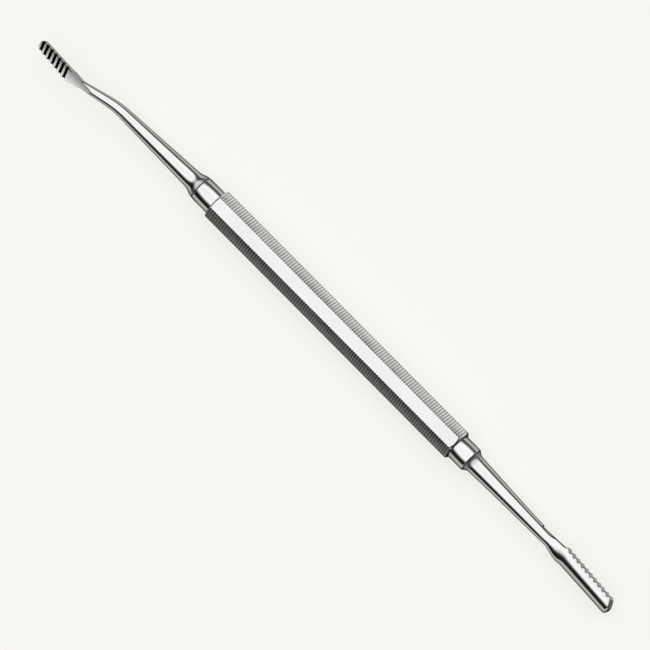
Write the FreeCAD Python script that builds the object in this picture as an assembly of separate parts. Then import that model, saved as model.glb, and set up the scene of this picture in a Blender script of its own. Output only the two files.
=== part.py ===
import FreeCAD, Part
import math
import os

# A double-ended bone file: a small cranked file and a large straight one on an octagonal handle.
#
# The handle is a solid bar. Every second flat is serrated across for grip, and the others are smooth.
# A turned collar is pressed into a blind bore at each end of the bar, and the round tang of a file is
# pressed and brazed into each collar. Nothing moves: the five pieces make one rigid tool.
#
# Frame: +X runs along the handle to the large file, +Y is the side the large file's teeth face, +Z is up.
# The origin is the centre of the handle's lower smooth flat, on which the tool rests. Millimetres, degrees.

Vector = FreeCAD.Vector

# Handle.
handle_across_flats = 7.4
handle_length = 75.4
handle_end_chamfer = 0.25
serration_pitch = 0.65
serration_depth = 0.1
serration_land = 0.14           # flat crest left between two grooves
serration_margin = 0.3          # least plain length between an end face and the first groove

# Collars. The spigot is the part pressed into the handle.
collar_diameter = 6.0
small_collar_length = 4.8
large_collar_length = 4.3
seam_chamfer = 0.15
spigot_diameter = 4.4
spigot_length = 12.0
spigot_lead = 0.3
bore_relief = 1.5               # depth of the handle's bore past the spigot
drill_point_angle = 118.0

# Files. Distances run outwards from the collar's outer face, heights towards the toothed face.
tang_diameter = 2.4
tang_lead = 0.3
tang_relief = 1.0               # the tang stops this far short of the spigot's end
flare_step = 0.08               # the file's root is this much smaller in radius than the collar
path_sections = 26              # round sections that a shank and its head are lofted through

small_file = dict(
    facing=42.0,                # the toothed face turns this far from +Z, towards -Y
    flare_length=3.6, flare_shoulder=1.5, flare_sweep=2.0,
    root_radius=2.2, neck_radius=0.95, neck=34.0, taper_power=1.0,
    bends=[(25.9, 0.68, 16.0), (37.4, 4.75, 5.0)],      # distance, height, radius of each bend
    swell=34.2, heel=37.2, side_heel=37.2, length=47.9, tip_height=3.78,
    heel_radius=1.62, tip_radius=1.42, nose_length=1.6,
    crest_height=0.38, groove_count=7, groove_pitch=1.33, groove_depth=0.45, first_groove=1.6,
    groove_rise=0.22, groove_fall=0.36, groove_floor=0.2,
    groove_skew=-9.0, heel_ramp=0.45, neck_flat=4.4,
    bevel_length=0.3, bevel_drop=0.7)

large_file = dict(
    facing=-87.5,
    flare_length=1.6, flare_shoulder=0.25, flare_sweep=1.1,
    root_radius=2.2, neck_radius=1.45, neck=25.0, taper_power=1.3,
    bends=[(25.0, -0.32, 18.0), (29.0, 0.68, 8.0)],
    swell=24.0, heel=28.3, side_heel=33.0, length=44.8, tip_height=-0.46,
    heel_radius=3.02, tip_radius=2.72, nose_length=0.9,
    crest_height=0.97, groove_count=11, groove_pitch=1.37, groove_depth=0.5, first_groove=1.6,
    groove_rise=0.38, groove_fall=0.78, groove_floor=0.08,
    groove_skew=0.0, heel_ramp=0.6, neck_flat=3.4,
    bevel_length=1.7, bevel_drop=2.6)

axis_height = handle_across_flats / 2
handle_half = handle_length / 2


def revolved(profile_edges):
    """Solid turned about X from edges whose ends lie on the axis."""
    face = Part.Face(Part.Wire(profile_edges))
    return face.revolve(Vector(0, 0, 0), Vector(1, 0, 0), 360)


def turned(points):
    """Solid turned about X from the straight-sided outline through (distance, radius) points."""
    outline = [Vector(x, 0, z) for x, z in points]
    return revolved(Part.makePolygon(outline + outline[:1]).Edges)


def extruded_outline(points, half_width, direction):
    """Prism of the outline through (distance, height) points, both ways along a direction in the XY plane."""
    outline = [Vector(x, 0, z) for x, z in points]
    face = Part.Face(Part.makePolygon(outline + outline[:1]))
    face.translate(direction * -half_width)
    return face.extrude(direction * (2 * half_width))


def collar_bore():
    """What one collar's spigot needs out of the handle, entering at x = 0 and running to -x."""
    radius = spigot_diameter / 2
    bottom = spigot_length + bore_relief
    point = radius / math.tan(math.radians(drill_point_angle / 2))
    return turned([(0, 0), (0, radius), (-bottom, radius), (-bottom - point, 0)])


def serration_cutter():
    """Row of V grooves for one flat, as a comb above z = 0 with its teeth pointing down."""
    room = handle_length - 2 * max(serration_margin, handle_end_chamfer)
    count = int(room / serration_pitch)
    half_mouth = (serration_pitch - serration_land) / 2
    clear = handle_across_flats / 10
    start = -count * serration_pitch / 2
    points = [(start, clear), (start, 0)]
    for number in range(count):
        middle = start + (number + 0.5) * serration_pitch
        points += [(middle - half_mouth, 0), (middle, -serration_depth), (middle + half_mouth, 0)]
    points += [(-start, 0), (-start, clear)]
    return extruded_outline(points, handle_across_flats / 2, Vector(0, 1, 0))


def handle_bar():
    """Octagonal bar about the X axis with flats up and down, chamfered ends and four serrated flats."""
    corner_radius = axis_height / math.cos(math.radians(22.5))
    corners = [Vector(-handle_half,
                      corner_radius * math.cos(math.radians(22.5 + 45 * k)),
                      corner_radius * math.sin(math.radians(22.5 + 45 * k))) for k in range(8)]
    bar = Part.Face(Part.makePolygon(corners + corners[:1])).extrude(Vector(handle_length, 0, 0))
    # The ends are turned back to a cone that takes the corners and the edge of every flat.
    end_radius = axis_height - handle_end_chamfer
    reach = corner_radius - end_radius
    blank = turned([(-handle_half, 0), (-handle_half, end_radius), (-handle_half + reach, corner_radius),
                    (handle_half - reach, corner_radius), (handle_half, end_radius), (handle_half, 0)])
    bar = bar.common(blank)
    for quarter in range(4):
        comb = serration_cutter()
        comb.translate(Vector(0, 0, axis_height))
        comb.rotate(Vector(0, 0, 0), Vector(1, 0, 0), 45 + 90 * quarter)
        bar = bar.cut(comb)
    for turn in (0, 180):
        bore = collar_bore()
        bore.translate(Vector(handle_half, 0, 0))
        bore.rotate(Vector(0, 0, 0), Vector(0, 0, 1), turn)
        bar = bar.cut(bore)
    return bar


def collar(length):
    """Turned collar with its outer face at x = 0, the ring and then the spigot running to -x."""
    outer = collar_diameter / 2
    spigot = spigot_diameter / 2
    hole = tang_diameter / 2
    end = length + spigot_length
    return turned([(0, hole), (0, outer - seam_chamfer), (-seam_chamfer, outer),
                   (-length + seam_chamfer, outer), (-length, outer - seam_chamfer), (-length, spigot),
                   (-end + spigot_lead, spigot), (-end, spigot - spigot_lead), (-end, hole)])


def tang(collar_length):
    """Round tang running to -x through the collar."""
    radius = tang_diameter / 2
    end = collar_length + spigot_length - tang_relief
    return turned([(0, 0), (0, radius), (-end + tang_lead, radius), (-end, radius - tang_lead), (-end, 0)])


def root_flare(spec):
    """Turned root of a shank, sweeping in from just under the collar's size to the shank's."""
    start = collar_diameter / 2 - flare_step
    end = spec["root_radius"]
    length = spec["flare_length"]
    curve = Part.BezierCurve()
    curve.setPoles([Vector(0, 0, start), Vector(spec["flare_shoulder"], 0, start),
                    Vector(length - spec["flare_sweep"], 0, end), Vector(length, 0, end)])
    return revolved([Part.makeLine(Vector(0, 0, 0), Vector(0, 0, start)), curve.toShape(),
                     Part.makeLine(Vector(length, 0, end), Vector(length, 0, 0)),
                     Part.makeLine(Vector(length, 0, 0), Vector(0, 0, 0))])


def head_line(spec):
    """Start of the straight head line and its unit direction."""
    distance, height, _ = spec["bends"][-1]
    start = Vector(distance, 0, height)
    direction = (Vector(spec["length"], 0, spec["tip_height"]) - start).normalize()
    return start, direction


def nose_start(spec):
    """Point on the head line where the rounded nose begins."""
    _, direction = head_line(spec)
    return Vector(spec["length"], 0, spec["tip_height"]) - direction * spec["nose_length"]


def centre_path(spec):
    """Evenly spaced points from the root flare to the nose along straight runs joined by tangent arcs."""
    corners = [Vector(spec["flare_length"], 0, 0)]
    corners += [Vector(distance, 0, height) for distance, height, _ in spec["bends"]]
    corners += [nose_start(spec)]
    edges = []
    last = corners[0]
    for before, corner, after, bend in zip(corners, corners[1:], corners[2:], spec["bends"]):
        towards = (corner - before).normalize()
        away = (after - corner).normalize()
        turn = towards.getAngle(away)
        setback = bend[2] * math.tan(turn / 2)
        enter = corner - towards * setback
        leave = corner + away * setback
        rise = bend[2] * (1 / math.cos(turn / 2) - 1)
        middle = corner + (away - towards).normalize() * rise
        edges += [Part.makeLine(last, enter), Part.Arc(enter, middle, leave).toShape()]
        last = leave
    edges += [Part.makeLine(last, corners[-1])]
    return Part.Wire(edges).discretize(Number=path_sections)


def body_radii(spec, distance):
    """Radii of the shank, its neck and its head at a distance from the collar, in height and sideways."""
    run = (distance - spec["flare_length"]) / (spec["neck"] - spec["flare_length"])
    left = max(0.0, 1 - run)
    shank = spec["neck_radius"] + (spec["root_radius"] - spec["neck_radius"]) * left ** spec["taper_power"]
    end = nose_start(spec).x
    along = (distance - spec["heel"]) / (end - spec["heel"])
    head = spec["heel_radius"] + (spec["tip_radius"] - spec["heel_radius"]) * max(0.0, along)
    radii = []
    for full in (spec["heel"], spec["side_heel"]):
        rise = min(1.0, max(0.0, (distance - spec["swell"]) / (full - spec["swell"])))
        radii.append(shank + (head - shank) * rise * rise * (3 - 2 * rise))
    return radii


def section(spec, point, axis):
    """Section of a blank at a point of its path: an ellipse where the head is still thinner sideways."""
    upwards = Vector(-axis.z, 0, axis.x)
    outline = Part.Ellipse(Vector(0, 0, 0), *body_radii(spec, point.x)).toShape()
    outline.Placement = FreeCAD.Placement(point, FreeCAD.Rotation(upwards, Vector(0, -1, 0), axis, "ZXY"))
    return Part.Wire(outline)


def file_blank(spec):
    """Forged blank of a file: root, shank, neck and head in one, before its face is ground."""
    points = centre_path(spec)
    _, direction = head_line(spec)
    rings = []
    for index, point in enumerate(points):
        if index == 0:
            axis = Vector(1, 0, 0)
        elif index == len(points) - 1:
            axis = direction
        else:
            axis = (points[index + 1] - points[index - 1]).normalize()
        rings.append(section(spec, point, axis))
    body = Part.makeLoft(rings, True, False)
    length = spec["nose_length"]
    radius = body_radii(spec, points[-1].x)[0]
    tip = Vector(length, 0, 0)
    side = Vector(0, 0, radius)
    ellipse = Part.Ellipse(*((tip, side) if length > radius else (side, tip)), Vector(0, 0, 0))
    quarter = Part.Arc(ellipse, 0, math.pi / 2)
    nose = revolved([quarter.toShape(), Part.makeLine(Vector(0, 0, 0), tip),
                     Part.makeLine(Vector(0, 0, 0), side)])
    nose.rotate(Vector(0, 0, 0), Vector(0, 1, 0), -math.degrees(math.atan2(direction.z, direction.x)))
    nose.translate(points[-1])
    return root_flare(spec).fuse([body, nose])


def groove_points(spec, heel, end):
    """Outline of the toothed face along the head line, from the heel to the far end of the face."""
    crest = spec["crest_height"]
    root = crest - spec["groove_depth"]
    points = [(heel, root), (heel + spec["heel_ramp"], crest)]
    for number in range(spec["groove_count"]):
        start = heel + spec["first_groove"] + number * spec["groove_pitch"]
        stop = start + spec["groove_floor"]
        points += [(start - spec["groove_fall"], crest), (start, root),
                   (stop, root), (stop + spec["groove_rise"], crest)]
    return points + [(end, crest)]


def face_cutters(spec):
    """What is ground off above the toothed face with its neck flat, and off the bevel down to the nose."""
    start, direction = head_line(spec)
    tip = (nose_start(spec) - start).Length + spec["nose_length"]
    heel = (spec["heel"] - start.x) / direction.x
    above = 3 * spec["heel_radius"]
    face = groove_points(spec, heel, tip + above)
    # The neck flat runs back from the heel in a line that meets the top of the neck.
    back = spec["neck_flat"]
    run_in = start - Vector(spec["bends"][0][0], 0, spec["bends"][0][1])
    neck_top = spec["neck_radius"] - math.tan(run_in.getAngle(direction)) * (back - heel)
    slope = (face[0][1] - neck_top) / back
    points = [(heel - 2 * back, above), (heel - 2 * back, face[0][1] - 2 * slope * back)] + face
    points += [(tip + above, above)]
    skew = math.radians(spec["groove_skew"])
    toothed = extruded_outline(points, above, Vector(math.sin(skew), math.cos(skew), 0))
    crest = spec["crest_height"]
    run = spec["bevel_length"]
    drop = spec["bevel_drop"]
    wedge = [(tip - 2 * run, crest + drop), (tip + run, crest - 2 * drop),
             (tip + above, crest - 2 * drop), (tip + above, crest + drop)]
    bevel = extruded_outline(wedge, above, Vector(0, 1, 0))
    for cutter in (toothed, bevel):
        cutter.rotate(Vector(0, 0, 0), Vector(0, 1, 0), -math.degrees(math.atan2(direction.z, direction.x)))
        cutter.translate(start)
    return [toothed, bevel]


def file_end(spec, collar_length):
    """Finished file: forged blank with its tang, its face ground and its grooves cut."""
    return file_blank(spec).fuse(tang(collar_length)).cut(face_cutters(spec))


def placed(shape, collar_length, turned_round, facing=0.0):
    """Moves a piece from x = 0 to its end of the handle, and turns its +Z side towards -Y by facing."""
    shape.translate(Vector(handle_half + collar_length, 0, 0))
    if turned_round:
        shape.rotate(Vector(0, 0, 0), Vector(0, 0, 1), 180)
    shape.rotate(Vector(0, 0, 0), Vector(1, 0, 0), facing)
    shape.translate(Vector(0, 0, axis_height))
    return shape


def whole(shape):
    """The one clean solid that a shape holds."""
    solids = shape.removeSplitter().Solids
    return max(solids, key=lambda solid: solid.Volume)


def build():
    os.makedirs("parts", exist_ok=True)
    bar = handle_bar()
    bar.translate(Vector(0, 0, axis_height))
    nodes = {
        "handle_bar": bar,
        "small_end_collar": placed(collar(small_collar_length), small_collar_length, True),
        "large_end_collar": placed(collar(large_collar_length), large_collar_length, False),
        "small_curved_file": placed(file_end(small_file, small_collar_length), small_collar_length, True,
                                    small_file["facing"]),
        "large_straight_file": placed(file_end(large_file, large_collar_length), large_collar_length, False,
                                      large_file["facing"]),
    }
    for name, shape in nodes.items():
        solid = whole(shape)
        box = solid.BoundBox
        print(f"{name}: valid {solid.isValid()} faces {len(solid.Faces)} volume {solid.Volume:.1f} "
              f"x {box.XMin:.2f}..{box.XMax:.2f} y {box.YMin:.2f}..{box.YMax:.2f} "
              f"z {box.ZMin:.2f}..{box.ZMax:.2f} solids {len(shape.Solids)}")
        solid.exportStep(f"parts/{name}.step")


build()
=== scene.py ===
import math

import bpy
from mathutils import Matrix, Vector
from mathutils.kdtree import KDTree


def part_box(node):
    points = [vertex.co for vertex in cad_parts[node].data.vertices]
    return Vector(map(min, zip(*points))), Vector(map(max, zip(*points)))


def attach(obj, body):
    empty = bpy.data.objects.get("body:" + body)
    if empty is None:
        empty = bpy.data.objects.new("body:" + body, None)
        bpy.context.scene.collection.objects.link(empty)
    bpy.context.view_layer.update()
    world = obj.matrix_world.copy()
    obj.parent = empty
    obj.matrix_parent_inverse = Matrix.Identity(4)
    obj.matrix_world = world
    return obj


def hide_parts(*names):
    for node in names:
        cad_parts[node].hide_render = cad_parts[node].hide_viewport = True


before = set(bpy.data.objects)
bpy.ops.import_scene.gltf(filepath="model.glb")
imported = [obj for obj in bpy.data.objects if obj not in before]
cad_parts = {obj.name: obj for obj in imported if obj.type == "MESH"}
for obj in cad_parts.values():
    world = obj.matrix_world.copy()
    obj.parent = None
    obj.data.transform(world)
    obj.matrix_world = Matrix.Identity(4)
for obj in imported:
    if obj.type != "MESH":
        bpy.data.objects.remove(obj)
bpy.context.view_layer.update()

bpy.ops.object.select_all(action="DESELECT")


# ---------------------------------------------------------------- Handle bar
# The handle is a solid octagonal bar of stainless steel. Every second flat is cut across with V grooves
# for grip, the others are polished smooth, and both ends are turned back to a short cone in the lathe.

bar_low, bar_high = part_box("handle_bar")
across_flats = bar_high.z - bar_low.z
bar_length = bar_high.x - bar_low.x
axis_height = (bar_low.z + bar_high.z) / 2
corner_radius = across_flats / 2 / math.cos(math.radians(22.5))
serration_pitch = 0.00065
serration_depth = 0.0001
serration_land = 0.00014
serration_margin = 0.0003
bar_edge_round = 0.00003
bar_end_chamfer = 0.00025
near = 1e-6                     # how close a point counts as on a plane


def select_where(part, test):
    """In edit mode, select just the vertices whose place passes the test."""
    bpy.ops.mesh.select_all(action="DESELECT")
    bpy.ops.object.mode_set(mode="OBJECT")
    for vertex in part.data.vertices:
        vertex.select = test(vertex.co)
    bpy.ops.object.mode_set(mode="EDIT")


def add_modifier(part, kind, **settings):
    """Add a modifier to a part with the given settings and apply it."""
    modifier = part.modifiers.new(kind.lower(), kind)
    for name, value in settings.items():
        setattr(modifier, name, value)
    bpy.context.view_layer.objects.active = part
    bpy.ops.object.modifier_apply(modifier=modifier.name)


def grind(part, tool, operation="DIFFERENCE", finishes=()):
    """Take a tool's shape off a part, or keep only what lies inside it, and put the tool away."""
    for finish in finishes:
        tool.data.materials.append(finish)
    add_modifier(part, "BOOLEAN", object=tool, operation=operation, solver="EXACT")
    bpy.data.objects.remove(tool)


def put_in_order():
    """Sort the mesh by distance from a point well off every axis, so that each run cuts the same mesh."""
    bpy.context.scene.cursor.location = (0.31, 0.17, -0.23)
    bpy.ops.mesh.select_all(action="SELECT")
    bpy.ops.mesh.sort_elements(type="CURSOR_DISTANCE", elements={"VERT", "EDGE", "FACE"})


def settle(part, name, smooth_angle=30.0):
    """Name a part, apply its place, point its faces outwards and smooth it between its sharp edges."""
    part.name = name
    part.data.name = name
    bpy.ops.object.select_all(action="DESELECT")
    part.select_set(True)
    bpy.context.view_layer.objects.active = part
    bpy.ops.object.transform_apply(location=True, rotation=True, scale=True)
    bpy.ops.object.mode_set(mode="EDIT")
    bpy.ops.mesh.select_all(action="SELECT")
    bpy.ops.mesh.remove_doubles(threshold=2 * near)
    bpy.ops.mesh.dissolve_degenerate(threshold=2 * near)
    bpy.ops.mesh.select_all(action="SELECT")
    bpy.ops.mesh.normals_make_consistent(inside=False)
    put_in_order()
    bpy.ops.object.mode_set(mode="OBJECT")
    bpy.ops.object.shade_smooth_by_angle(angle=math.radians(smooth_angle))
    part.select_set(False)
    return part


def octagon_tube(length):
    """An open octagonal tube along X, centred on the bar's axis with flats up and down."""
    bpy.ops.mesh.primitive_cylinder_add(vertices=8, radius=corner_radius, depth=length,
                                        end_fill_type="NOTHING", rotation=(0, math.radians(90), 0))
    tube = bpy.context.object
    bpy.ops.object.transform_apply(rotation=True)
    bpy.ops.object.mode_set(mode="EDIT")
    bpy.ops.mesh.select_all(action="SELECT")
    bpy.ops.transform.rotate(value=math.radians(22.5), orient_axis="X", center_override=(0, 0, 0))
    return tube


def make_handle_bar():
    # One groove's length of the bar: three rings are cut in, and the middle one is pushed in on the
    # four slanting flats by sliding its corners along the smooth flats.
    slice_of_bar = octagon_tube(serration_pitch)
    half_mouth = (serration_pitch - serration_land) / 2
    for place in (-half_mouth, 0, half_mouth):
        bpy.ops.mesh.select_all(action="SELECT")
        bpy.ops.mesh.bisect(plane_co=(place, 0, 0), plane_no=(1, 0, 0))
    half = across_flats / 2
    half_flat = half * math.tan(math.radians(22.5))
    pinch = 1 - math.sqrt(2) * serration_depth / half_flat
    select_where(slice_of_bar, lambda at: abs(at.x) < near and abs(at.z) > half - near)
    bpy.ops.transform.resize(value=(1, pinch, 1), center_override=(0, 0, 0))
    select_where(slice_of_bar, lambda at: abs(at.x) < near and abs(at.y) > half - near)
    bpy.ops.transform.resize(value=(1, 1, pinch), center_override=(0, 0, 0))
    bpy.ops.object.mode_set(mode="OBJECT")
    count = int((bar_length - 2 * serration_margin) / serration_pitch)
    add_modifier(slice_of_bar, "ARRAY", count=count, use_relative_offset=False, use_constant_offset=True,
                 constant_offset_displace=(serration_pitch, 0, 0), use_merge_vertices=True,
                 merge_threshold=near)
    # Both ends are drawn out a little past the bar's length and closed, then every edge is eased.
    first = -serration_pitch / 2
    last = first + count * serration_pitch
    middle = (first + last) / 2
    overrun = 0.001
    bpy.ops.object.mode_set(mode="EDIT")
    for end, side in ((first, -1), (last, 1)):
        reach = middle + side * (bar_length / 2 + overrun) - end
        select_where(slice_of_bar, lambda at: abs(at.x - end) < near)
        bpy.ops.mesh.extrude_region_move(TRANSFORM_OT_translate={"value": (reach, 0, 0)})
        bpy.ops.mesh.edge_face_add()
    bpy.ops.mesh.select_all(action="SELECT")
    bpy.ops.transform.translate(value=(-middle, 0, axis_height))
    bpy.ops.mesh.normals_make_consistent(inside=False)
    bpy.ops.object.mode_set(mode="OBJECT")
    add_modifier(slice_of_bar, "BEVEL", width=bar_edge_round, segments=2, limit_method="ANGLE",
                 angle_limit=math.radians(25), use_clamp_overlap=False)
    # The lathe takes the ends back to a cone.
    end_radius = across_flats / 2 - bar_end_chamfer
    blank_half = bar_length / 2
    widest = corner_radius + overrun
    bpy.ops.mesh.primitive_cylinder_add(vertices=128, radius=end_radius, depth=bar_length,
                                        location=(0, 0, axis_height), rotation=(0, math.radians(90), 0))
    blank = bpy.context.object
    bpy.ops.object.transform_apply(location=True, rotation=True)
    bpy.ops.object.mode_set(mode="EDIT")
    run = widest - end_radius       # the cone is at 45 degrees
    for place in (-blank_half + run, blank_half - run):
        bpy.ops.mesh.select_all(action="SELECT")
        bpy.ops.mesh.bisect(plane_co=(place, 0, 0), plane_no=(1, 0, 0))
    select_where(blank, lambda at: abs(at.x) < blank_half - run + near)
    swell = widest / end_radius
    bpy.ops.transform.resize(value=(1, swell, swell), center_override=(0, 0, axis_height))
    bpy.ops.object.mode_set(mode="OBJECT")
    grind(slice_of_bar, blank, "INTERSECT")
    return settle(slice_of_bar, "octagonal_handle", smooth_angle=25.0)


def ramp(nodes, links, source, low, high, at_low, at_high, shape="LINEAR"):
    """A value that goes from at_low to at_high as the source goes from low to high, and stops there."""
    span = nodes.new("ShaderNodeMapRange")
    span.interpolation_type = shape
    span.inputs["From Min"].default_value = low
    span.inputs["From Max"].default_value = high
    span.inputs["To Min"].default_value = at_low
    span.inputs["To Max"].default_value = at_high
    links.new(source, span.inputs["Value"])
    return span.outputs["Result"]


def reckon(nodes, links, operation, *terms):
    """The result of a Math node whose inputs are the given links or numbers."""
    node = nodes.new("ShaderNodeMath")
    node.operation = operation
    for term, inlet in zip(terms, node.inputs):
        if isinstance(term, (int, float)):
            inlet.default_value = term
        else:
            links.new(term, inlet)
    return node.outputs["Value"]


def paint_grey(nodes, links, tone):
    """Lead a grey tone to the base colour of a material."""
    tint = nodes.new("ShaderNodeCombineColor")
    for channel in ("Red", "Green", "Blue"):
        links.new(tone, tint.inputs[channel])
    links.new(tint.outputs["Color"], nodes["Principled BSDF"].inputs["Base Color"])


film = 0.7                      # how much light a smoky film lets through; it shows where steel is seen at a slant


def polished_steel(name, tone, gloss, line_scale, line_strength):
    """Steel under a thin smoky film, with faint polishing lines and cloudy changes of gloss and tone."""
    steel = bpy.data.materials.new(name)
    steel.use_nodes = True
    nodes = steel.node_tree.nodes
    links = steel.node_tree.links
    skin = nodes["Principled BSDF"]
    skin.inputs["Metallic"].default_value = 1.0
    skin.inputs["Specular Tint"].default_value = (0.0, 0.0, 0.0, 1)
    skin.inputs["Coat Weight"].default_value = 1.0
    skin.inputs["Coat IOR"].default_value = 1.0
    skin.inputs["Coat Tint"].default_value = (film, film, film, 1)
    place = nodes.new("ShaderNodeTexCoord")
    # Cloudy patches where polishing and handling have changed the gloss.
    clouds = nodes.new("ShaderNodeTexNoise")
    clouds.inputs["Scale"].default_value = 160.0
    clouds.inputs["Detail"].default_value = 4.0
    links.new(place.outputs["Object"], clouds.inputs["Vector"])
    cloud = clouds.outputs["Fac"]
    links.new(ramp(nodes, links, cloud, 0.3, 0.7, gloss * 0.75, gloss * 1.35), skin.inputs["Roughness"])
    paint_grey(nodes, links, ramp(nodes, links, cloud, 0.3, 0.7, tone * 0.97, tone * 1.02))
    # Fine polishing lines.
    stretch = nodes.new("ShaderNodeMapping")
    stretch.inputs["Scale"].default_value = line_scale
    links.new(place.outputs["Object"], stretch.inputs["Vector"])
    lines = nodes.new("ShaderNodeTexNoise")
    lines.inputs["Scale"].default_value = 1.0
    lines.inputs["Detail"].default_value = 3.0
    links.new(stretch.outputs["Vector"], lines.inputs["Vector"])
    bump = nodes.new("ShaderNodeBump")
    bump.inputs["Strength"].default_value = line_strength
    bump.inputs["Distance"].default_value = 0.00001
    links.new(lines.outputs["Fac"], bump.inputs["Height"])
    links.new(bump.outputs["Normal"], skin.inputs["Normal"])
    return steel


half_smooth_flat = across_flats / 2 * math.tan(math.radians(22.5))


def serrated_steel(name):
    """Cut steel of the serrated flats: satin, with painted shade in the groove roots and along the flat's long
    edges, and painted light that makes the flat facing +Y lighter than the one facing -Y.
    """
    steel = polished_steel(name, 0.5, 0.40, (9000, 500, 500), 0.3)
    nodes = steel.node_tree.nodes
    links = steel.node_tree.links
    nodes["Principled BSDF"].inputs["Specular Tint"].default_value = (1, 1, 1, 1)
    nodes["Principled BSDF"].inputs["Coat Weight"].default_value = 0.0
    place = nodes.new("ShaderNodeTexCoord")
    split = nodes.new("ShaderNodeSeparateXYZ")
    links.new(place.outputs["Object"], split.inputs["Vector"])
    # On a slanting flat the distances from the axis in Y and Z add up to the same at every crest.
    aside = reckon(nodes, links, "ABSOLUTE", split.outputs["Y"])
    aloft = reckon(nodes, links, "ABSOLUTE", reckon(nodes, links, "SUBTRACT", split.outputs["Z"], axis_height))
    both = reckon(nodes, links, "ADD", aside, aloft)
    crest_sum = across_flats / math.sqrt(2)
    root_sum = crest_sum - serration_depth * math.sqrt(2)
    # Painted shade: the tone is darkened towards the roots of the grooves, where shade falls in them.
    depth = ramp(nodes, links, both, root_sum, crest_sum, 0.30, 1.25)
    # Painted shade: a thin dark line is painted along the two long edges of the flat.
    apart = reckon(nodes, links, "ABSOLUTE", reckon(nodes, links, "SUBTRACT", aside, aloft))
    flat_edge = across_flats / 2 - half_smooth_flat
    edge_shade_starts = flat_edge - 0.0004
    edge_shade_full = flat_edge - 0.00005
    edge = ramp(nodes, links, apart, edge_shade_starts, edge_shade_full, 1.0, 0.35)
    # Painted light: the flat facing +Y is painted lighter and the one facing -Y darker, as the light falls from +Y.
    side = ramp(nodes, links, split.outputs["Y"], -across_flats / 4, across_flats / 4, 0.22, 0.95)
    paint_grey(nodes, links, reckon(nodes, links, "MULTIPLY", reckon(nodes, links, "MULTIPLY", depth, edge), side))
    return steel


handle = make_handle_bar()
handle.data.materials.append(polished_steel("handle_polished_steel", 0.89, 0.16, (300, 9000, 9000), 0.15))
handle.data.materials.append(serrated_steel("serrated_flat_steel"))
for face in handle.data.polygons:
    least = min(abs(face.center.y), abs(face.center.z - axis_height))
    if least > half_smooth_flat - bar_edge_round:
        face.material_index = 1
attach(handle, "root")
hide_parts("handle_bar")


# ---------------------------------------------------------------- Collars
# A collar is a short stainless ring turned in the lathe and polished bright. Its spigot is pressed into
# the end of the handle, out of sight, and its two eased edges leave a fine seam on both sides.

ring_steps = 96
ring_low, ring_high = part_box("small_end_collar")
ring_radius = (ring_high.z - ring_low.z) / 2
lip = 0.0006                    # how far the end faces of the turned pieces reach in below their rims


def start_ring(place, radius):
    """Add a circle across the X axis, in edit mode and selected, as the start of a turned or drawn piece."""
    bpy.ops.mesh.primitive_circle_add(vertices=ring_steps, radius=radius, location=(0, 0, 0),
                                      rotation=(0, math.radians(90), 0))
    part = bpy.context.object
    part.location = place
    bpy.ops.object.transform_apply(location=True, rotation=True)
    bpy.ops.object.mode_set(mode="EDIT")
    bpy.ops.mesh.select_all(action="SELECT")
    return part


def draw_ring(step, growth, centre, side_growth=None):
    """Extrude the selected ring by a step, then scale it about its new centre, sideways by another amount."""
    bpy.ops.mesh.extrude_region_move(TRANSFORM_OT_translate={"value": step})
    bpy.ops.transform.resize(value=(growth, side_growth or growth, growth), center_override=centre)


def close_ring():
    """Close the selected ring with a face."""
    bpy.ops.mesh.edge_face_add()


def make_collar(node, name, side):
    """A turned ring between the handle's end and the root of a file, on the -X or +X side."""
    low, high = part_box(node)
    start = side * bar_length / 2
    end = low.x if side < 0 else high.x
    ease = 0.00012                  # the broken edge, drawn as two short cones
    inner = ring_radius - lip
    buried = 0.0005                 # how far the ring's core reaches into the handle
    stations = [(start - side * buried, inner), (start, inner), (start, ring_radius - ease),
                (start + side * ease * 0.3, ring_radius - ease * 0.3), (start + side * ease, ring_radius),
                (end - side * ease, ring_radius), (end - side * ease * 0.3, ring_radius - ease * 0.3),
                (end, ring_radius - ease), (end, inner)]
    part = start_ring((stations[0][0], 0, axis_height), stations[0][1])
    close_ring()
    for (before, radius_before), (after, radius_after) in zip(stations, stations[1:]):
        draw_ring((after - before, 0, 0), radius_after / radius_before, (after, 0, axis_height))
    close_ring()
    bpy.ops.object.mode_set(mode="OBJECT")
    return settle(part, name, smooth_angle=50.0)


collar_finish = polished_steel("collar_bright_steel", 0.89, 0.11, (9000, 400, 400), 0.12)
for node, name, side in (("small_end_collar", "small_end_ring", -1), ("large_end_collar", "large_end_ring", 1)):
    ring = make_collar(node, name, side)
    ring.data.materials.append(collar_finish)
    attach(ring, "root")
    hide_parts(node)


# ---------------------------------------------------------------- Small cranked file
# The small file is forged from one round stainless bar: a swept root, a long shank that tapers to a slim
# bent neck, and a round head. Its face is ground flat and slotted across, and its tang is brazed in the ring.

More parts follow.
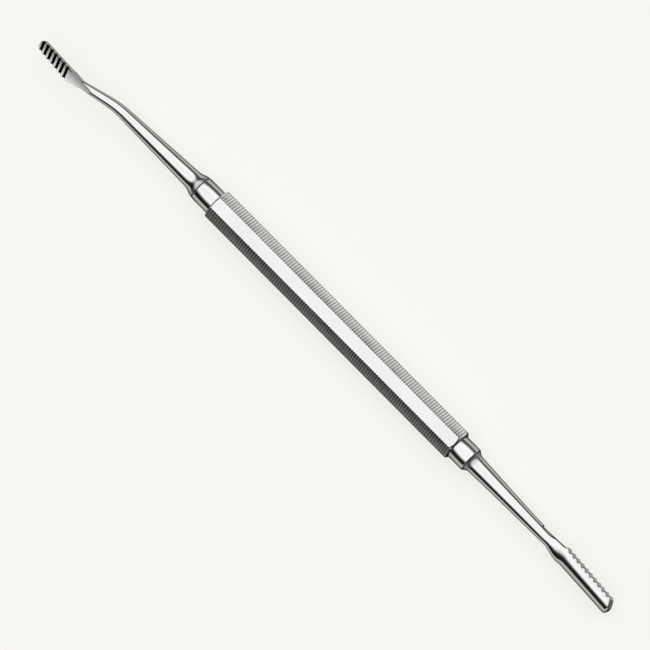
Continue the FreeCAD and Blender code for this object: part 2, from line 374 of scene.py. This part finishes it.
root_step = 0.00008             # the root of a file is this much smaller in radius than its ring
root_ease = 0.0001
ring_spacing = 0.0003           # between two rings along a forged shank
tooth_edge_round = 0.00005
small_file = dict(
    ring="small_end_collar", facing=42.0,       # degrees the face turns about the bar's axis, from straight up
    flare_length=0.0036, flare_shoulder=0.0015, flare_sweep=0.0020,
    root_radius=0.0022, neck_radius=0.00095, neck=0.0340, taper_power=1.0,
    bends=[(0.0259, 0.00068, 0.016), (0.0374, 0.00475, 0.005)],
    swell=0.0342, heel=0.0372, side_heel=0.0372, length=0.0479, tip_height=0.00378,
    heel_radius=0.00162, tip_radius=0.00142, nose_length=0.0016,
    crest_height=0.00038, groove_count=7, groove_pitch=0.00133, groove_depth=0.00045,
    first_groove=0.0016, groove_rise=0.00022, groove_fall=0.00036, groove_floor=0.0002,
    groove_skew=-9.0, heel_ramp=0.00045, neck_flat=0.0044,
    bevel_length=0.0003, bevel_drop=0.0007, edge_shade_width=0.0003)


def head_line(spec):
    """The last bend, where the straight line of the head starts, and the line's length and tilt."""
    distance, height, _ = spec["bends"][-1]
    run = Vector((spec["length"] - distance, spec["tip_height"] - height))
    return Vector((distance, height)), run.length, math.atan2(run.y, run.x)


def shank_radii(spec, distance, head_end):
    """Radii of the shank, its neck and its head at a distance from the ring, in height and sideways."""
    left = max(0.0, 1 - (distance - spec["flare_length"]) / (spec["neck"] - spec["flare_length"]))
    shank = spec["neck_radius"] + (spec["root_radius"] - spec["neck_radius"]) * left ** spec["taper_power"]
    along = max(0.0, (distance - spec["heel"]) / (head_end - spec["heel"]))
    head = spec["heel_radius"] + (spec["tip_radius"] - spec["heel_radius"]) * along
    radii = []
    for full in (spec["heel"], spec["side_heel"]):
        rise = min(1.0, max(0.0, (distance - spec["swell"]) / (full - spec["swell"])))
        radii.append(shank + (head - shank) * rise * rise * (3 - 2 * rise))
    return radii


def root_rings(spec):
    """Places, tilts and radii of the rings of the root: an eased edge, then a sweep down to the shank."""
    widest = ring_radius - root_step
    rings = []
    buried = 0.0004                 # how far the root's core reaches into the ring
    for distance, radius in ((-buried, widest - lip), (0, widest - lip), (0, widest - root_ease),
                             (root_ease * 0.3, widest - root_ease * 0.3)):
        rings.append((distance, 0, 0, radius, radius))
    shoulder = spec["flare_shoulder"]
    sweep = spec["flare_length"] - spec["flare_sweep"]
    sweep_steps = 24
    for number in range(1, sweep_steps):
        part = number / sweep_steps
        near_start = 3 * (1 - part) ** 2 * part
        near_end = 3 * (1 - part) * part ** 2
        distance = near_start * shoulder + near_end * sweep + part ** 3 * spec["flare_length"]
        radius = ((1 - part) ** 3 + near_start) * widest + (near_end + part ** 3) * spec["root_radius"]
        rings.append((distance, 0, 0, radius, radius))
    return rings


def shank_rings(spec):
    """Rings from the root to the nose, along straight runs joined by arcs, and round the nose."""
    start, reach, head_tilt = head_line(spec)
    forward = Vector((math.cos(head_tilt), math.sin(head_tilt)))
    nose = start + forward * (reach - spec["nose_length"])
    corners = [Vector((spec["flare_length"], 0))] + [Vector(bend[:2]) for bend in spec["bends"]] + [nose]
    runs = [after - before for before, after in zip(corners, corners[1:])]
    tilts = [math.atan2(run.y, run.x) for run in runs]
    bends = [bend[2] for bend in spec["bends"]] + [0.0]
    route = []
    at = corners[0]
    for number, (corner, tilt, bend_radius) in enumerate(zip(corners[1:], tilts, bends)):
        turn = tilts[number + 1] - tilt if bend_radius else 0.0
        enter = corner - Vector((math.cos(tilt), math.sin(tilt))) * bend_radius * math.tan(abs(turn) / 2)
        steps = math.ceil((enter - at).length / ring_spacing)
        route += [(at.lerp(enter, step / steps), tilt) for step in range(steps)]
        at = enter
        steps = max(2, math.ceil(bend_radius * abs(turn) / ring_spacing)) if bend_radius else 0
        swing = math.copysign(bend_radius, turn)
        for step in range(steps):
            heading = tilt + turn * step / steps
            arc = Vector((math.sin(heading) - math.sin(tilt), math.cos(tilt) - math.cos(heading)))
            route.append((enter + arc * swing, heading))
        if steps:
            heading = tilt + turn
            at = enter + Vector((math.sin(heading) - math.sin(tilt), math.cos(tilt) - math.cos(heading))) * swing
    rings = [(place.x, place.y, tilt, *shank_radii(spec, place.x, nose.x)) for place, tilt in route]
    nose_steps = 20
    for number in range(nose_steps):
        sweep = math.radians(90) * number / nose_steps
        place = nose + forward * spec["nose_length"] * math.sin(sweep)
        radii = [radius * math.cos(sweep) for radius in shank_radii(spec, nose.x, nose.x)]
        rings.append((place.x, place.y, head_tilt, *radii))
    return rings


def forge_blank(spec):
    """The round forged blank of a file, drawn ring by ring and closed at the point of its nose."""
    rings = root_rings(spec) + shank_rings(spec)
    part = start_ring((rings[0][0], 0, rings[0][1]), rings[0][3])
    close_ring()
    for before, after in zip(rings, rings[1:]):
        centre = (after[0], 0, after[1])
        draw_ring((after[0] - before[0], 0, after[1] - before[1]), after[3] / before[3], centre,
                  after[4] / before[4])
        if after[2] != before[2]:
            bpy.ops.transform.rotate(value=after[2] - before[2], orient_axis="Y", center_override=centre)
    bpy.ops.mesh.merge(type="CENTER")
    bpy.ops.mesh.select_all(action="SELECT")
    bpy.ops.mesh.normals_make_consistent(inside=False)
    put_in_order()
    bpy.ops.object.mode_set(mode="OBJECT")
    return part


def outline_tool(points, reach, slant, start, tilt):
    """A grinding tool: an outline of (distance, height) points on the head line, extruded to both sides."""
    bpy.ops.mesh.primitive_plane_add(size=0.001, location=(0, 0, 0))
    tool = bpy.context.object
    bpy.ops.object.mode_set(mode="EDIT")
    bpy.ops.mesh.select_all(action="SELECT")
    bpy.ops.mesh.merge(type="CENTER")
    side = Vector((math.sin(slant), math.cos(slant), 0)) * reach
    bpy.ops.transform.translate(value=Vector((points[0][0], 0, points[0][1])) - side)
    for before, after in zip(points, points[1:]):
        step = (after[0] - before[0], 0, after[1] - before[1])
        bpy.ops.mesh.extrude_region_move(TRANSFORM_OT_translate={"value": step})
    bpy.ops.mesh.select_all(action="SELECT")
    bpy.ops.mesh.edge_face_add()
    bpy.ops.mesh.extrude_region_move(TRANSFORM_OT_translate={"value": side * 2})
    bpy.ops.mesh.select_all(action="SELECT")
    bpy.ops.mesh.normals_make_consistent(inside=False)
    put_in_order()
    bpy.ops.object.mode_set(mode="OBJECT")
    tool.matrix_world = Matrix.Translation((start.x, 0, start.y)) @ Matrix.Rotation(-tilt, 4, "Y")
    return tool


def make_file(spec, name):
    """Forge a file, grind its toothed face, neck flat and tip bevel, and set it in its ring."""
    part = forge_blank(spec)
    finishes = (file_finish, spec["face_finish"], spec["cut_finish"])
    for finish in finishes:
        part.data.materials.append(finish)
    start, reach, tilt = head_line(spec)
    heel = (spec["heel"] - start.x) / math.cos(tilt)
    crest = spec["crest_height"]
    root = crest - spec["groove_depth"]
    above = 3 * spec["heel_radius"]
    # The neck flat runs back from the heel in a line that meets the top of the neck.
    back = spec["neck_flat"]
    distance, height, _ = spec["bends"][0]
    neck_tilt = math.atan2(start.y - height, start.x - distance)
    neck_top = spec["neck_radius"] - math.tan(abs(neck_tilt - tilt)) * (back - heel)
    slope = (root - neck_top) / back
    outline = [(heel - 2 * back, above), (heel - 2 * back, root - 2 * slope * back),
               (heel, root), (heel + spec["heel_ramp"], crest)]
    for number in range(spec["groove_count"]):
        groove = heel + spec["first_groove"] + number * spec["groove_pitch"]
        outline += [(groove - spec["groove_fall"], crest), (groove, root), (groove + spec["groove_floor"], root),
                    (groove + spec["groove_floor"] + spec["groove_rise"], crest)]
    outline += [(reach + above, crest), (reach + above, above)]
    wheel = outline_tool(outline, above, math.radians(spec["groove_skew"]), start, tilt)
    first_cut = heel + spec["first_groove"] - spec["groove_fall"]
    for face in wheel.data.polygons:
        is_cut = face.center.z < crest - near and face.center.x > first_cut
        face.material_index = 2 if is_cut else 1
    grind(part, wheel, finishes=finishes)
    run = spec["bevel_length"]
    drop = spec["bevel_drop"]
    bevel = [(reach - 2 * run, crest + drop), (reach + run, crest - 2 * drop),
             (reach + above, crest - 2 * drop), (reach + above, crest + drop)]
    wheel = outline_tool(bevel, above, 0.0, start, tilt)
    for face in wheel.data.polygons:
        face.material_index = 1
    grind(part, wheel, finishes=finishes)
    # The ground edges are broken, and the breaks have the material of the grooves, which on the small file is
    # painted shade.
    add_modifier(part, "BEVEL", width=tooth_edge_round, segments=2, limit_method="ANGLE",
                 angle_limit=math.radians(24), use_clamp_overlap=True, material=2)
    # Painted shade: a dark rim is painted on the forged skin along the ground edges, fading away from them.
    ground = {corner for face in part.data.polygons if face.material_index for corner in face.vertices}
    edges = KDTree(len(ground))
    for corner in ground:
        edges.insert(part.data.vertices[corner].co, corner)
    edges.balance()
    painted_rim_shade = part.data.attributes.new("painted_edge_shade", "FLOAT", "POINT")
    for vertex in part.data.vertices:
        painted_rim_shade.data[vertex.index].value = max(0.0, 1 - edges.find(vertex.co)[2] / spec["edge_shade_width"])
    low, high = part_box(spec["ring"])
    outer = low.x if high.x < 0 else high.x
    part.matrix_world = (Matrix.Translation((0, 0, axis_height))
                         @ Matrix.Rotation(math.radians(spec["facing"]), 4, "X")
                         @ Matrix.Rotation(math.pi if outer < 0 else 0.0, 4, "Z")
                         @ Matrix.Translation((abs(outer), 0, 0)))
    settle(part, name, smooth_angle=28.0)
    add_modifier(part, "WEIGHTED_NORMAL", keep_sharp=True)
    part.select_set(False)
    return part


braze_tint = 0.0014             # length of the dulled zone at a file's root


def forged_steel(name):
    """Bright steel of the forged shanks, dull at the rings where braze was cleaned off, with painted shade
    darkening it at the ground edges.
    """
    steel = polished_steel(name, 0.89, 0.11, (600, 2500, 2500), 0.12)
    nodes = steel.node_tree.nodes
    links = steel.node_tree.links
    skin = nodes["Principled BSDF"]
    place = nodes.new("ShaderNodeTexCoord")
    split = nodes.new("ShaderNodeSeparateXYZ")
    links.new(place.outputs["Object"], split.inputs["Vector"])
    away = reckon(nodes, links, "ABSOLUTE", split.outputs["X"])
    root = abs(ring_low.x)
    painted_rim_shade = nodes.new("ShaderNodeAttribute")
    painted_rim_shade.attribute_name = "painted_edge_shade"
    # The dull zone at the root is the steel's own; the darkening at the ground edges is painted shade.
    braze_dull_and_edge_shade = reckon(nodes, links, "MULTIPLY", ramp(nodes, links, away, root, root + braze_tint, 0.5, 1.0),
                    ramp(nodes, links, painted_rim_shade.outputs["Fac"], 0.1, 0.8, 1.0, 0.10))
    cloudy_tone = skin.inputs["Base Color"].links[0].from_node.inputs["Red"].links[0].from_socket
    paint_grey(nodes, links, reckon(nodes, links, "MULTIPLY", braze_dull_and_edge_shade, cloudy_tone))
    gloss = reckon(nodes, links, "ADD", ramp(nodes, links, away, root, root + braze_tint, 0.25, 0.0),
                   skin.inputs["Roughness"].links[0].from_socket)
    links.new(gloss, skin.inputs["Roughness"])
    return steel


def ground_steel(name, tone):
    """Matte steel of a ground face."""
    steel = polished_steel(name, tone, 0.75, (600, 4000, 600), 0.3)
    skin = steel.node_tree.nodes["Principled BSDF"]
    skin.inputs["Metallic"].default_value = 0.1
    skin.inputs["Specular Tint"].default_value = (1, 1, 1, 1)
    skin.inputs["Coat Weight"].default_value = 0.0
    return steel


def painted_highlight_steel(name, bright_side, dull_side, bright_tone, dull_tone):
    """Ground steel with painted light: it is painted brighter towards one edge in Y and darker towards the other.
    """
    steel = ground_steel(name, bright_tone)
    nodes = steel.node_tree.nodes
    links = steel.node_tree.links
    place = nodes.new("ShaderNodeTexCoord")
    split = nodes.new("ShaderNodeSeparateXYZ")
    links.new(place.outputs["Object"], split.inputs["Vector"])
    paint_grey(nodes, links, ramp(nodes, links, split.outputs["Y"], bright_side, dull_side, bright_tone, dull_tone))
    return steel


file_finish = forged_steel("forged_bright_steel")
# Painted shade: the small file's slot bottoms are painted near black, where shade falls in them.
small_file["cut_finish"] = polished_steel("slot_bottom_painted_shade", 0.02, 0.45, (600, 4000, 600), 0.3)
# Painted highlight: the small file's face is painted brighter towards its -Y edge.
small_file["face_finish"] = painted_highlight_steel("small_face_steel", -0.0042, -0.0024, 1.0, 0.40)
small_cranked_file = make_file(small_file, "small_cranked_file")
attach(small_cranked_file, "root")
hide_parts("small_curved_file")


# ---------------------------------------------------------------- Large straight file
# The large file is forged and ground in the same way, with a stouter shank, a slight drop at the neck, and
# eleven coarse teeth on a face that stands almost upright beside the handle's upper flat.

large_file = dict(
    ring="large_end_collar", facing=-87.5,
    flare_length=0.0016, flare_shoulder=0.00025, flare_sweep=0.0011,
    root_radius=0.0022, neck_radius=0.00145, neck=0.0250, taper_power=1.3,
    bends=[(0.0250, -0.00032, 0.018), (0.0290, 0.00068, 0.008)],
    swell=0.0240, heel=0.0283, side_heel=0.0330, length=0.0448, tip_height=-0.00046,
    heel_radius=0.00302, tip_radius=0.00272, nose_length=0.0009,
    crest_height=0.00097, groove_count=11, groove_pitch=0.00137, groove_depth=0.0005,
    first_groove=0.0016, groove_rise=0.00038, groove_fall=0.00078, groove_floor=0.00008,
    groove_skew=0.0, heel_ramp=0.0006, neck_flat=0.0034,
    bevel_length=0.0017, bevel_drop=0.0026, edge_shade_width=0.0004)

# Painted shade: the large file's toothed face is painted near black, standing in for the dark line of shade along
# its teeth.
large_file["face_finish"] = ground_steel("large_face_painted_shade", 0.04)
large_file["cut_finish"] = ground_steel("large_flank_steel", 0.42)
large_straight_file = make_file(large_file, "large_toothed_file")
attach(large_straight_file, "root")
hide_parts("large_straight_file")


# ---------------------------------------------------------------- Studio and camera
# A plain pale table, partly lit from itself so that it stays even, under a wide soft white dome. The
# dome is dim low down all round, which gives the polished steel its dark lines.

bpy.ops.mesh.primitive_plane_add(size=6.0, location=(0, 0, 0))
table = bpy.context.object
table.name = "pale_table"
surface = bpy.data.materials.new("pale_table")
surface.use_nodes = True
paper = surface.node_tree.nodes["Principled BSDF"]
paper.inputs["Base Color"].default_value = (0.20, 0.20, 0.195, 1)
paper.inputs["Emission Color"].default_value = (1.0, 0.992, 0.955, 1)
paper.inputs["Emission Strength"].default_value = 0.74
paper.inputs["Roughness"].default_value = 1.0
paper.inputs["Specular IOR Level"].default_value = 0.0
table.data.materials.append(surface)

dome = bpy.data.worlds.new("soft_dome")
bpy.context.scene.world = dome
dome.use_nodes = True
sky = dome.node_tree
background = sky.nodes["Background"]
toward = sky.nodes.new("ShaderNodeTexCoord")
# The bright cap of the dome stands a little towards +Y.
swing = sky.nodes.new("ShaderNodeMapping")
swing.inputs["Rotation"].default_value = (math.radians(7.0), 0, 0)
sky.links.new(toward.outputs["Generated"], swing.inputs["Vector"])
split = sky.nodes.new("ShaderNodeSeparateXYZ")
sky.links.new(swing.outputs["Vector"], split.inputs["Vector"])
cap = ramp(sky.nodes, sky.links, split.outputs["Z"], 0.44, 0.78, 0.02, 1.55, shape="SMOOTHSTEP")
side_light = ramp(sky.nodes, sky.links, split.outputs["Y"], 0.0, 1.0, 0.0, 0.12)
crown = ramp(sky.nodes, sky.links, split.outputs["Z"], 0.80, 0.97, 1.0, 0.92, shape="SMOOTHSTEP")
total = reckon(sky.nodes, sky.links, "ADD", cap, side_light)
sky.links.new(reckon(sky.nodes, sky.links, "MULTIPLY", total, crown), background.inputs["Strength"])
background.inputs["Color"].default_value = (1, 1, 0.995, 1)

# The camera looks down on the tool from a little towards the large file, through a long lens, turned so
# that the tool lies across the picture from corner to corner.
lean = math.radians(10.0)
turn = math.radians(45.19)
picture_width = 0.14131
sight = Vector((math.sin(lean), 0, math.cos(lean)))
along = Vector((math.cos(lean), 0, -math.sin(lean)))
across = sight.cross(along)
right = along * math.cos(turn) + across * math.sin(turn)
up = across * math.cos(turn) - along * math.sin(turn)
camera = bpy.data.objects.new("camera", bpy.data.cameras.new("camera"))
bpy.context.collection.objects.link(camera)
camera.data.lens = 500.0
distance = picture_width * camera.data.lens / camera.data.sensor_width
shift_right = 0.0025            # the tool sits this far right of the picture's centre, and a little above it
shift_up = 0.0001
aim = Vector((0, 0, axis_height)) - right * shift_right - up * shift_up
placing = Matrix((right, up, sight)).transposed().to_4x4()
placing.translation = aim + sight * distance
camera.matrix_world = placing
camera.data.clip_end = 20.0
bpy.context.scene.camera = camera
bpy.context.scene.view_settings.view_transform = "Standard"
